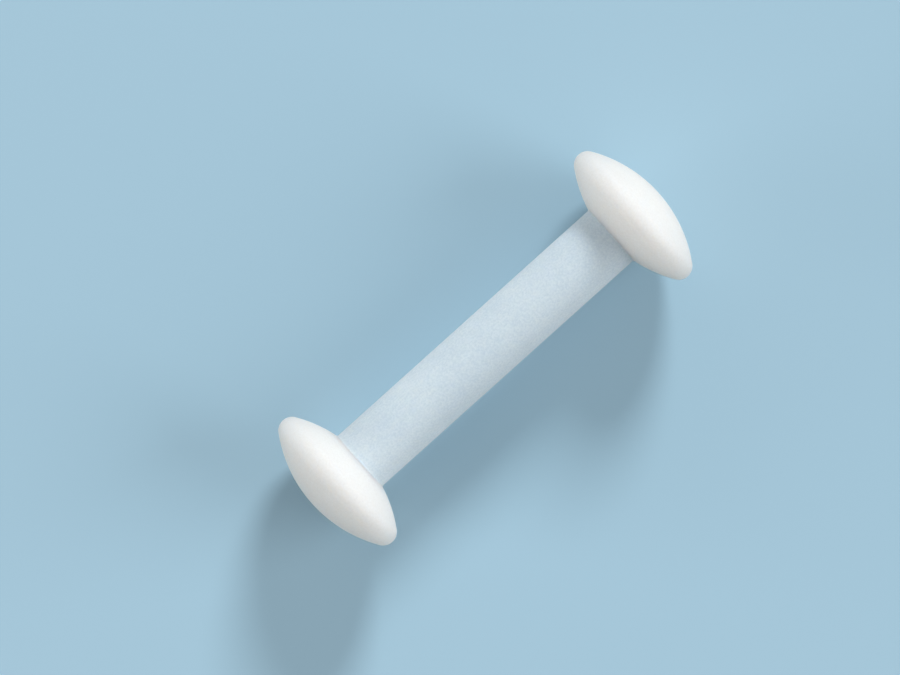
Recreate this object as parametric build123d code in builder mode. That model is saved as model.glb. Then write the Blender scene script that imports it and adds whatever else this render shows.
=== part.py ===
from build123d import *

import os
from math import asin, atan2, degrees, sqrt

# Dumbbell magnetic stir bar: a round bar magnet sealed in one piece of white PTFE.
#
# The jacket is a plain round shaft with a lens-shaped disc at each end. The bar lies on the rims of its
# two discs, so only two small patches touch the bottom of the vessel and liquid passes under the shaft.
#
# Millimetres. +X runs along the bar and +Z is up. The origin is on the surface that the discs touch,
# under the middle of the bar, on the vertical line about which the bar turns as it stirs.

# Outside of the jacket
overall_length = 54.0  # over the two end domes
disc_diameter = 19.0  # over the rounded rim
disc_thickness = 7.9  # from dome to dome, on the axis of the bar
rim_radius = 1.6  # rounding of a disc's rim
shaft_diameter = 7.8
root_radius = 0.3  # rounding of the inside corner where the shaft meets a disc

# Magnet, and the PTFE around it
shaft_wall = 1.4  # PTFE over the magnet along the shaft
end_wall = 5.0  # PTFE beyond each end of the magnet
magnet_clearance = 0.05  # gap all round between the magnet and its pocket
magnet_chamfer = 0.4  # on the ends of the magnet

# Worked out: a disc, whose two equal domes run smoothly into the rounding of the rim
disc_radius = disc_diameter / 2
dome_height = disc_thickness / 2
rim_centre_radius = disc_radius - rim_radius
dome_radius = (rim_centre_radius**2 - rim_radius**2 + dome_height**2) / (2 * (dome_height - rim_radius))
dome_set_back = dome_radius - dome_height  # from a disc's middle plane to the centre of its dome
disc_station = overall_length / 2 - dome_height  # from the middle of the bar to a disc's middle plane
rim_angle = degrees(atan2(rim_centre_radius, dome_set_back))  # where a dome runs into the rim

# Worked out: the shaft between the discs
shaft_radius = shaft_diameter / 2
root_angle = degrees(asin(shaft_radius / dome_radius))  # where a dome runs into the shaft
root_station = disc_station + dome_set_back - sqrt(dome_radius**2 - shaft_radius**2)

# Worked out: the magnet, which its clearance keeps off the PTFE
magnet_radius = shaft_radius - shaft_wall - magnet_clearance
magnet_length = overall_length - 2 * (end_wall + magnet_clearance)

# The axis of the bar, a plane through it with the radius upwards, and a plane across its middle
bar_axis = Axis((0, 0, disc_radius), (1, 0, 0))
section_plane = Plane(origin=(0, 0, disc_radius), x_dir=(1, 0, 0), z_dir=(0, -1, 0))
middle_plane = Plane(origin=(0, 0, disc_radius), x_dir=(0, 1, 0), z_dir=(1, 0, 0))


# Magnet: a ground rod with a chamfer at each end
with BuildPart() as bar_magnet:
    with BuildSketch(middle_plane):
        Circle(magnet_radius)
    extrude(amount=magnet_length / 2, both=True)
    chamfer(bar_magnet.faces().filter_by(Axis.X).edges(), magnet_chamfer)


# Jacket: shaft and discs turned from one outline, with a closed pocket for the magnet
with BuildPart() as ptfe_jacket:
    with BuildSketch(section_plane) as half_section:
        with BuildLine():
            CenterArc((disc_station - dome_set_back, 0), dome_radius, 0, rim_angle)
            CenterArc((disc_station, rim_centre_radius), rim_radius, rim_angle, 180 - 2 * rim_angle)
            CenterArc((disc_station + dome_set_back, 0), dome_radius, 180 - rim_angle, rim_angle - root_angle)
            mirror(about=Plane.YZ)
            Line((-root_station, shaft_radius), (root_station, shaft_radius))
            Line((-overall_length / 2, 0), (overall_length / 2, 0))
        make_face()
        # The lowest corners lie on the axis, and the next ones up are where the shaft meets the discs
        root_corners = half_section.vertices().group_by(Axis.Y)[1]
        fillet(root_corners, root_radius)
    revolve(axis=bar_axis)

    # The PTFE is moulded round the magnet, so the pocket is the magnet grown by its clearance
    offset(bar_magnet.part, amount=magnet_clearance, kind=Kind.INTERSECTION, mode=Mode.SUBTRACT)


# One file for each piece
os.makedirs("parts", exist_ok=True)

bar_magnet.part.label = "bar_magnet"
export_step(bar_magnet.part, "parts/bar_magnet.step")

ptfe_jacket.part.label = "ptfe_jacket"
export_step(ptfe_jacket.part, "parts/ptfe_jacket.step")
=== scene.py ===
# %% [markdown]
# # A dumbbell stir bar
#
# A stir bar is a magnet sealed in white PTFE. It lies on the bottom of a vessel, and a second magnet
# turning under the vessel drags it round. This one is a dumbbell: a slim shaft between two lens-shaped
# discs, which keep the shaft off the glass. The shape is a plain lathe form, so nearly all of its look
# comes from how PTFE takes the light: it is matt, waxy and a little translucent, and where it is thin the
# dark magnet greys it from below.
#
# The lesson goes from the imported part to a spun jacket, two finishes, a floor, a camera and the light.

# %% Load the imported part
from math import asin, atan2, cos, pi, radians, sin, sqrt, tan

import bmesh
import bpy
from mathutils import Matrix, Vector


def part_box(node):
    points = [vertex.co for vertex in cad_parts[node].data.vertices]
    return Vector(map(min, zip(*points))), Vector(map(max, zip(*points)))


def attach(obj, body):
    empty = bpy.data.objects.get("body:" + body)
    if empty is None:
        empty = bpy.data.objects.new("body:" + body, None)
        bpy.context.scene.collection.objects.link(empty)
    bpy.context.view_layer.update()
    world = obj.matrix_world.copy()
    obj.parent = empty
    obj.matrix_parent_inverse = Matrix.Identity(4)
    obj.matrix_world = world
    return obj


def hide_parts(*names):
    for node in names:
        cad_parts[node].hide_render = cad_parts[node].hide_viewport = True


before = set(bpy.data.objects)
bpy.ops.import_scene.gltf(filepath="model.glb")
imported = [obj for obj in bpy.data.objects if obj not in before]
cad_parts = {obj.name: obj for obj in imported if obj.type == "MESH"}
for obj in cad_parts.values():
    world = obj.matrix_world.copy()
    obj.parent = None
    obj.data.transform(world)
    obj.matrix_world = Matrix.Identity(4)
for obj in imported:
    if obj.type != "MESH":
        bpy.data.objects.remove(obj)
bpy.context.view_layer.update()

scene = bpy.context.scene
scene.view_settings.view_transform = "Standard"

# %% [markdown]
# ## The sizes of the jacket
#
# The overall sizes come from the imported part, so the new piece lands exactly on it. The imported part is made
# of flat facets, and its box isn't quite as high as it is wide. The smaller of the two, less a hair, keeps
# the smooth jacket inside. A box can't tell how round a rim is or how thick the shaft is, so those few
# sizes are written here, in millimetres times a unit, because Blender works in metres.
#
# A disc is two equal domes that run into a rounded rim. Once the disc's thickness and the rim's radius are
# chosen, only one dome radius lets the arcs meet without a corner, so it is worked out and not typed.

# %% Sizes
mm = 0.001
hair = 0.001 * mm

jacket_low, jacket_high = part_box("ptfe_jacket")
bar_middle = (jacket_low + jacket_high) / 2
jacket_size = jacket_high - jacket_low
overall_length = jacket_size.x
disc_radius = min(jacket_size.y, jacket_size.z) / 2 - hair
disc_thickness = 7.9 * mm
rim_radius = 1.6 * mm
shaft_radius = 3.9 * mm
root_radius = 0.3 * mm

dome_height = disc_thickness / 2
rim_centre_radius = disc_radius - rim_radius
dome_radius = (rim_centre_radius**2 - rim_radius**2 + dome_height**2) / (2 * (dome_height - rim_radius))
dome_set_back = dome_radius - dome_height
disc_station = overall_length / 2 - dome_height
rim_angle = atan2(rim_centre_radius, dome_set_back)
root_angle = asin(shaft_radius / dome_radius)
root_station = disc_station + dome_set_back - sqrt(dome_radius**2 - shaft_radius**2)
print(f"dome radius {dome_radius / mm:.2f} mm, shaft ends {root_station / mm:.2f} mm from the middle")

# %% [markdown]
# ## Half an outline, drawn with spins
#
# A lathe form needs only half an outline. It could be typed as a list of points, but a spun vertex leaves a
# true arc behind it, with its centre and angle in plain sight. So one vertex starts at the tip of the end
# dome and is spun three times: over the outer dome, round the rim, and down the inner dome to the shaft.

# %% Draw one end
dome_steps = 28
rim_steps = 24


def on_section(station, height=0.0):
    """A point that far along the bar from its middle, and that far above its axis."""
    return bar_middle + Vector((station, 0, height))


def spin_arc(bm, vert, centre, angle, steps):
    """Leaves an arc behind the vertex in the upright plane through the bar's axis, and returns its end."""
    spun = bmesh.ops.spin(bm, geom=[vert], cent=centre, axis=(0, -1, 0), angle=angle, steps=steps)
    return next(part for part in spun["geom_last"] if isinstance(part, bmesh.types.BMVert))


outline = bmesh.new()
tip = outline.verts.new(on_section(overall_length / 2))
rim_start = spin_arc(outline, tip, on_section(disc_station - dome_set_back), rim_angle, dome_steps)
rim_centre = on_section(disc_station, rim_centre_radius)
rim_end = spin_arc(outline, rim_start, rim_centre, pi - 2 * rim_angle, rim_steps)
inner_centre = on_section(disc_station + dome_set_back)
root = spin_arc(outline, rim_end, inner_centre, rim_angle - root_angle, dome_steps)
print("shaft meets the disc at", [round(c / mm, 3) for c in root.co])

# %% [markdown]
# ## The shaft and its root
#
# The shaft is one straight extrusion to the middle of the bar. The corner where it meets the disc isn't
# knife-sharp on the real piece. A vertex bevel rounds it while the outline is still flat, which is easier
# than picking two rings of edges afterwards. The bevel wants the distance from the corner to where the
# rounding starts, which for a fillet is its radius over the tangent of half the angle between the lines. At
# the end the straight line is cut into short lengths, so that the finished skin has no long thin faces.

# %% Draw the shaft and round its root
root_steps = 6
shaft_cuts = 31
corner_angle = pi / 2 + root_angle


def extrude_to(bm, vert, place):
    """Draws a straight edge from the vertex to the place, and returns its end."""
    (end,) = bmesh.ops.extrude_vert_indiv(bm, verts=[vert])["verts"]
    end.co = place
    return end


extrude_to(outline, root, on_section(0, shaft_radius))
bmesh.ops.bevel(
    outline,
    geom=[root],
    offset=root_radius / tan(corner_angle / 2),
    offset_type="OFFSET",
    segments=root_steps,
    profile=0.5,
    affect="VERTICES",
    material=-1,
)
shaft_line = max(outline.edges, key=lambda edge: edge.calc_length())
bmesh.ops.subdivide_edges(outline, edges=[shaft_line], cuts=shaft_cuts)
print("outline of one end:", len(outline.verts), "points")

# %% [markdown]
# ## The pocket
#
# The jacket isn't solid: it is moulded round the magnet, and the hollow has the magnet's own shape, with a
# chamfer at the end and a small clearance. Nobody sees it, but light that wanders that deep into the white
# is swallowed there, as it is by the dark metal in the real one. Four points draw half of its outline, in
# the same mesh, so that one mirror and one spin will serve both skins.

# %% Draw one end of the pocket
magnet_low, magnet_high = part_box("bar_magnet")
magnet_size = magnet_high - magnet_low
pocket_clearance = 0.05 * mm
magnet_chamfer = 0.4 * mm
pocket_radius = magnet_size.y / 2 + pocket_clearance
pocket_end = magnet_size.x / 2 + pocket_clearance

pocket_tip = outline.verts.new(on_section(pocket_end))
chamfer_start = extrude_to(outline, pocket_tip, on_section(pocket_end, pocket_radius - magnet_chamfer))
chamfer_end = extrude_to(outline, chamfer_start, on_section(pocket_end - magnet_chamfer, pocket_radius))
extrude_to(outline, chamfer_end, on_section(0, pocket_radius))
print(f"pocket {2 * pocket_end / mm:.1f} mm long, {2 * pocket_radius / mm:.1f} mm across")

# %% [markdown]
# ## Mirror and lathe
#
# Both ends are alike, so the outline is mirrored about the middle of the bar and not drawn twice. One full
# spin about the bar's axis then makes both skins. The tips lie on that axis, so all their copies fall
# together and have to be merged.

# %% Mirror the outline and spin it
turns = 224

bmesh.ops.mirror(outline, geom=outline.verts[:] + outline.edges[:], axis="X", merge_dist=hair)
bmesh.ops.remove_doubles(outline, verts=outline.verts, dist=hair)
bmesh.ops.spin(
    outline,
    geom=outline.verts[:] + outline.edges[:],
    cent=bar_middle,
    axis=(1, 0, 0),
    angle=2 * pi,
    steps=turns,
    use_merge=True,
)
bmesh.ops.remove_doubles(outline, verts=outline.verts, dist=hair)
print("both skins:", len(outline.faces), "faces")

# %% [markdown]
# After a spin the faces may point either way. Recalculating turns every closed skin outwards. The pocket is
# then turned round again, because there the PTFE is on the outside of the skin.

# %% Turn the faces and make the jacket
bmesh.ops.recalc_face_normals(outline, faces=outline.faces)


def in_pocket(face):
    """True for a face of the hollow round the magnet."""
    for vert in face.verts:
        from_axis = (vert.co - on_section(vert.co.x)).length
        if abs(vert.co.x) > pocket_end + hair or from_axis > pocket_radius + hair:
            return False
    return True


bmesh.ops.reverse_faces(outline, faces=[face for face in outline.faces if in_pocket(face)])
for face in outline.faces:
    face.smooth = True

jacket_mesh = bpy.data.meshes.new("jacket")
outline.to_mesh(jacket_mesh)
outline.free()
jacket = bpy.data.objects.new("jacket", jacket_mesh)
scene.collection.objects.link(jacket)
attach(jacket, "root")
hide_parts("ptfe_jacket")
print("jacket:", len(jacket_mesh.vertices), "vertices,", len(jacket_mesh.polygons), "faces")

# %% [markdown]
# ## Helpers for materials
#
# Colours are easiest to read as the hex values that a colour picker shows, but a shader counts light, which
# is linear. One function turns the one into the other. A second adds a node, with its settings as keywords
# and its inputs as a table in which an input is either a value or another node's output. Inputs go by name,
# except where a node gives several the same name: the Mix node's two numbers are then 2 and 3, and its two
# colours are 6 and 7 and come out at 2.

# %% Colour and node helpers
def linear(hex_colour):
    """The linear colour, with full alpha, of an sRGB hex value such as #c0c0c0."""
    channels = [int(hex_colour[start:start + 2], 16) / 255 for start in (1, 3, 5)]
    return [c / 12.92 if c <= 0.04045 else ((c + 0.055) / 1.055) ** 2.4 for c in channels] + [1.0]


def add_node(tree, kind, inputs=(), **settings):
    """Adds a node, makes its settings, and fills or links its inputs."""
    node = tree.nodes.new(kind)
    for name, value in settings.items():
        setattr(node, name, value)
    for socket, value in dict(inputs).items():
        if isinstance(value, bpy.types.NodeSocket):
            tree.links.new(value, node.inputs[socket])
        else:
            node.inputs[socket].default_value = value
    return node


def new_material(name):
    """An empty node material."""
    material = bpy.data.materials.new(name)
    material.use_nodes = True
    material.node_tree.nodes.clear()
    return material


print("the grey #808080 reflects", round(linear("#808080")[0], 3), "of the light")

# %% [markdown]
# ## Sintered PTFE
#
# PTFE is pressed from powder and sintered. It comes out matt white, slippery and waxy: light goes in, is
# scattered many times and comes out somewhere else, so shadows on it are pale and end softly. In the thick
# discs nearly all of that light returns, and they are pure white. In the thin wall of the shaft much of it
# reaches the dark magnet and is lost, the long red waves first, so the shaft is a cool grey.
#
# That light could be traced down to the magnet, but a thin wall over a dark core comes out noisy. A mask is
# cleaner: the wall is thick in the discs and thin between them, so the distance along the bar is enough to
# tell one from the other.

# %% Tell the thick wall from the thin
ptfe = new_material("white sintered PTFE, turned smooth")
tree = ptfe.node_tree
wall_fade = 0.3 * mm

place = add_node(tree, "ShaderNodeTexCoord").outputs["Object"]
along = add_node(tree, "ShaderNodeSeparateXYZ", {"Vector": place}).outputs["X"]
from_middle = add_node(tree, "ShaderNodeMath", {0: along}, operation="ABSOLUTE").outputs[0]
in_disc = add_node(
    tree,
    "ShaderNodeMapRange",
    {
        "Value": from_middle,
        "From Min": root_station - wall_fade / 2,
        "From Max": root_station + wall_fade / 2,
    },
    interpolation_type="SMOOTHSTEP",
).outputs["Result"]
print(f"thick wall from {root_station / mm:.1f} mm outwards")

# %% [markdown]
# A sintered white is never one flat colour. Two noises break it up: clouds a few millimetres wide, where it
# is denser, and the fine speckle of the powder. Together they make one mottle, which slides between two
# warm whites on the discs and between two cool greys on the shaft. The colours of each pair are close,
# because the eye should notice the mottle only from near by. The whites are written a touch warmer than
# they should look, because light from the blue floor cools them again.

# %% Colour of the PTFE
DISC_WHITE = "#fdf4ef"
DISC_CREAM = "#f7ede7"
SHAFT_PALE = "#e3eff6"
SHAFT_GREY = "#d3e2ec"
cloud_size = 4.0 * mm
grain_size = 0.25 * mm
cloud_share = 0.3
mottle_low, mottle_high = 0.35, 0.65

clouds = add_node(tree, "ShaderNodeTexNoise", {"Vector": place, "Scale": 1 / cloud_size}).outputs["Fac"]
grain = add_node(tree, "ShaderNodeTexNoise", {"Vector": place, "Scale": 1 / grain_size}).outputs["Fac"]
blend = add_node(tree, "ShaderNodeMix", {"Factor": cloud_share, 2: grain, 3: clouds}).outputs[0]
mottle = add_node(
    tree, "ShaderNodeMapRange", {"Value": blend, "From Min": mottle_low, "From Max": mottle_high}
).outputs["Result"]
disc_colour = add_node(
    tree,
    "ShaderNodeMix",
    {"Factor": mottle, 6: linear(DISC_WHITE), 7: linear(DISC_CREAM)},
    data_type="RGBA",
).outputs[2]
shaft_colour = add_node(
    tree,
    "ShaderNodeMix",
    {"Factor": mottle, 6: linear(SHAFT_PALE), 7: linear(SHAFT_GREY)},
    data_type="RGBA",
).outputs[2]
ptfe_colour = add_node(
    tree, "ShaderNodeMix", {"Factor": in_disc, 6: shaft_colour, 7: disc_colour}, data_type="RGBA"
).outputs[2]
print("discs", DISC_WHITE, "to", DISC_CREAM, "and shaft", SHAFT_PALE, "to", SHAFT_GREY)

# %% [markdown]
# The speckle also makes the gloss uneven and gives the skin a relief of under a hundredth of a millimetre,
# so highlights stay broad and break up at their edges. Subsurface scattering does the rest. Its scale is
# how far light wanders under the skin: a centimetre in a disc, enough to come through to its shaded side,
# and very little in the thin wall of the shaft, which looks drier and harder for it. Red wanders a little
# further than blue, so the shaded side of a disc is creamy where it begins.

# %% Gloss, relief and scattering of the PTFE
depth_in_disc = 10.0 * mm
depth_in_shaft = 0.2 * mm
colour_reach = (1.0, 0.9, 0.8)
grain_relief = 0.0075 * mm
grain_low, grain_high = 0.3, 0.7
smoothest, roughest = 0.5, 0.62
ptfe_ior = 1.35

roughness = add_node(
    tree,
    "ShaderNodeMapRange",
    {
        "Value": grain,
        "From Min": grain_low,
        "From Max": grain_high,
        "To Min": smoothest,
        "To Max": roughest,
    },
).outputs["Result"]
relief = add_node(tree, "ShaderNodeBump", {"Height": grain, "Distance": grain_relief}).outputs["Normal"]
scatter_depth = add_node(
    tree, "ShaderNodeMapRange", {"Value": in_disc, "To Min": depth_in_shaft, "To Max": depth_in_disc}
).outputs["Result"]
# Waxy and matt: a soft broad sheen on a body that seems lit from within
skin = add_node(
    tree,
    "ShaderNodeBsdfPrincipled",
    {
        "Base Color": ptfe_colour,
        "Roughness": roughness,
        "Normal": relief,
        "IOR": ptfe_ior,
        "Subsurface Weight": 1.0,
        "Subsurface Radius": colour_reach,
        "Subsurface Scale": scatter_depth,
    },
    subsurface_method="RANDOM_WALK",
)
add_node(tree, "ShaderNodeOutputMaterial", {"Surface": skin.outputs["BSDF"]})
jacket_mesh.materials.append(ptfe)
print(ptfe.name, "has", len(tree.nodes), "nodes")

# %% [markdown]
# ## Ground magnet alloy
#
# The magnet is a rod of cast AlNiCo, a hard grey alloy that can only be ground. Centreless grinding leaves
# fine rings round the rod. It is sealed in and never shows, but it is a real piece of the object, so it
# gets its own metal. A wave texture would make rings that are too even: noise that keeps its scale along
# the bar and is stretched across it makes rings of uneven width. Real ones are some hundredths of a
# millimetre wide, too fine to show, so these are drawn a few times as wide.

# %% Grinding rings
alloy = new_material("cast AlNiCo, centreless ground")
tree = alloy.node_tree
ring_width = 0.12 * mm
ring_stretch = 0.02

place = add_node(tree, "ShaderNodeTexCoord").outputs["Object"]
stretched = add_node(
    tree, "ShaderNodeMapping", {"Vector": place, "Scale": (1.0, ring_stretch, ring_stretch)}
).outputs["Vector"]
rings = add_node(tree, "ShaderNodeTexNoise", {"Vector": stretched, "Scale": 1 / ring_width}).outputs["Fac"]
print(f"rings {ring_width / mm} mm wide")

# %% [markdown]
# The rings drive everything that changes over the surface: a lighter and a darker grey, more and less
# gloss, and a very shallow relief. The rod is a CAD node, so its mesh is left as it is and only gets the
# material.

# %% Magnet finish
ALLOY_GREY = "#8f8e8b"
ALLOY_DARK = "#7b7a78"
ring_relief = 0.004 * mm
ring_smooth, ring_rough = 0.28, 0.5

metal_colour = add_node(
    tree,
    "ShaderNodeMix",
    {"Factor": rings, 6: linear(ALLOY_GREY), 7: linear(ALLOY_DARK)},
    data_type="RGBA",
).outputs[2]
roughness = add_node(
    tree, "ShaderNodeMapRange", {"Value": rings, "To Min": ring_smooth, "To Max": ring_rough}
).outputs["Result"]
relief = add_node(tree, "ShaderNodeBump", {"Height": rings, "Distance": ring_relief}).outputs["Normal"]
# Ground metal: dull grey with a streak of light that runs along the rod, cut up by the rings
metal = add_node(
    tree,
    "ShaderNodeBsdfPrincipled",
    {"Base Color": metal_colour, "Metallic": 1.0, "Roughness": roughness, "Normal": relief},
)
add_node(tree, "ShaderNodeOutputMaterial", {"Surface": metal.outputs["BSDF"]})
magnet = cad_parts["bar_magnet"]
magnet.data.materials.clear()
magnet.data.materials.append(alloy)
print(alloy.name, "has", len(tree.nodes), "nodes")

# %% [markdown]
# ## Floor
#
# White on white has no outline, so the floor is a pale blue: light enough for a plain studio floor, and
# coloured enough for the white rims and the cool grey shaft to stand out. What the camera sees of a floor
# and what the floor throws back at the object need not be the same. The Light Path node tells what kind of
# ray has arrived: the camera, and anything that mirrors or refracts, sees the pale sheet, and all other
# rays find a darker, greyer one, which keeps the undersides of the bar in the shade and its whites from
# turning blue.

# %% Floor finish
FLOOR_PALE = "#afd2e5"
FLOOR_BOUNCE = "#8fa6b0"


def seen_directly(tree):
    """1 for a ray from the camera, a mirror or glass, and 0 for light on its way between surfaces."""
    rays = add_node(tree, "ShaderNodeLightPath").outputs
    seen = rays["Is Camera Ray"]
    for kind in ("Is Glossy Ray", "Is Transmission Ray"):
        seen = add_node(tree, "ShaderNodeMath", {0: seen, 1: rays[kind]}, operation="MAXIMUM").outputs[0]
    return seen


paper = new_material("pale paper, uncoated")
tree = paper.node_tree
paper_colour = add_node(
    tree,
    "ShaderNodeMix",
    {"Factor": seen_directly(tree), 6: linear(FLOOR_BOUNCE), 7: linear(FLOOR_PALE)},
    data_type="RGBA",
).outputs[2]
# Uncoated paper: no gloss at all, so nothing on the floor but the bar's shadow
matt = add_node(tree, "ShaderNodeBsdfDiffuse", {"Color": paper_colour})
add_node(tree, "ShaderNodeOutputMaterial", {"Surface": matt.outputs["BSDF"]})
print(paper.name, "has", len(tree.nodes), "nodes")

# %% [markdown]
# The floor itself is one flat square, large enough to reach the horizon in a low view of so small an
# object. It is left out of the bar's body, so that it isn't taken for a piece of the bar.

# %% Lay the floor
floor_half = 3.0

sheet = bmesh.new()
bmesh.ops.create_grid(sheet, x_segments=1, y_segments=1, size=floor_half)
floor_mesh = bpy.data.meshes.new("floor")
sheet.to_mesh(floor_mesh)
sheet.free()
floor_mesh.materials.append(paper)
floor = bpy.data.objects.new("floor", floor_mesh)
scene.collection.objects.link(floor)
print("floor", 2 * floor_half, "m across")

# %% [markdown]
# ## Camera
#
# The picture was taken from straight above with a long lens: the lines where the shaft meets the discs are
# straight, so no part of the bar is seen at an angle. Two pixels are then enough to place the camera, the
# tips of the two end domes. The distance between them gives the scale, their slope gives the camera's roll,
# and their middle gives its place.

# %% Camera over the bar
picture_width, picture_height = 900, 675
low_tip_px = Vector((312.3, 503.9))
high_tip_px = Vector((658.5, 192.7))
camera_height = 1.0

tip_to_tip = high_tip_px - low_tip_px
metres_per_px = overall_length / tip_to_tip.length
roll = atan2(tip_to_tip.y, tip_to_tip.x)
picture_right = Vector((cos(roll), sin(roll), 0))
picture_up = Vector((-sin(roll), cos(roll), 0))
middle_px = (low_tip_px + high_tip_px) / 2
off_right = (middle_px.x - picture_width / 2) * metres_per_px
off_down = (middle_px.y - picture_height / 2) * metres_per_px

lens = bpy.data.cameras.new("overhead")
lens.lens = lens.sensor_width * camera_height / (picture_width * metres_per_px)
camera = bpy.data.objects.new("overhead", lens)
camera.location = bar_middle - off_right * picture_right + off_down * picture_up
camera.location.z += camera_height
camera.rotation_euler = (0, 0, roll)
scene.collection.objects.link(camera)
scene.camera = camera
print(f"lens {lens.lens:.0f} mm, {metres_per_px / mm:.4f} mm to a pixel")

# %% [markdown]
# ## Light
#
# The key light stands at the top of the picture and throws the shadows down it. A wide one on the right and
# a low one on the left keep the ends of the discs bright. Softboxes would do, but a sun lamp with a wide
# angle is a softbox that stands infinitely far off: the light is just as soft, and the floor is lit evenly
# right up to the horizon. A lamp's level is what a white card that faces it would show. Levels can be added
# up, and what they come to on a surface stays near 1, at which a colour renders about as it is written.

# %% Lamps
lit_level = 0.0


def add_sun(name, bearing, elevation, width, level):
    """A soft lamp. Its bearing is clockwise from the top of the picture and its width is an angle, all in
    degrees. Returns what it adds to the level of a white floor."""
    bearing, elevation = radians(bearing), radians(elevation)
    towards_lamp = cos(elevation) * (sin(bearing) * picture_right + cos(bearing) * picture_up)
    towards_lamp.z = sin(elevation)
    sun = bpy.data.lights.new(name, "SUN")
    sun.energy = level * pi
    sun.angle = radians(width)
    lamp = bpy.data.objects.new(name, sun)
    lamp.rotation_euler = towards_lamp.to_track_quat("Z", "Y").to_euler()
    scene.collection.objects.link(lamp)
    return level * sin(elevation)


lit_level += add_sun("key", bearing=16, elevation=33, width=16, level=0.55)
lit_level += add_sun("right side", bearing=95, elevation=28, width=40, level=0.355)
lit_level += add_sun("left side", bearing=265, elevation=9, width=30, level=0.25)
print(f"the lamps alone light the floor to {lit_level:.2f}")

# %% [markdown]
# ## World and backdrop
#
# The world has two tasks, and Light Path parts them here too. As a light it is an even white that fills the
# shadows. As a backdrop it is what a low view sees beyond the floor, so there it takes the colour that the
# floor has under all this light, and the horizon disappears.

# %% World
world_level = 0.375
lit_level += world_level

world = bpy.data.worlds.new("white room")
world.use_nodes = True
tree = world.node_tree
tree.nodes.clear()
room = add_node(tree, "ShaderNodeBackground", {"Color": (1, 1, 1, 1), "Strength": world_level})
backdrop = add_node(tree, "ShaderNodeBackground", {"Color": linear(FLOOR_PALE), "Strength": lit_level})
either = add_node(
    tree, "ShaderNodeMixShader", {"Fac": seen_directly(tree), 1: room.outputs[0], 2: backdrop.outputs[0]}
)
add_node(tree, "ShaderNodeOutputWorld", {"Surface": either.outputs[0]})
scene.world = world
print(f"lamps and world light the floor to {lit_level:.2f}")
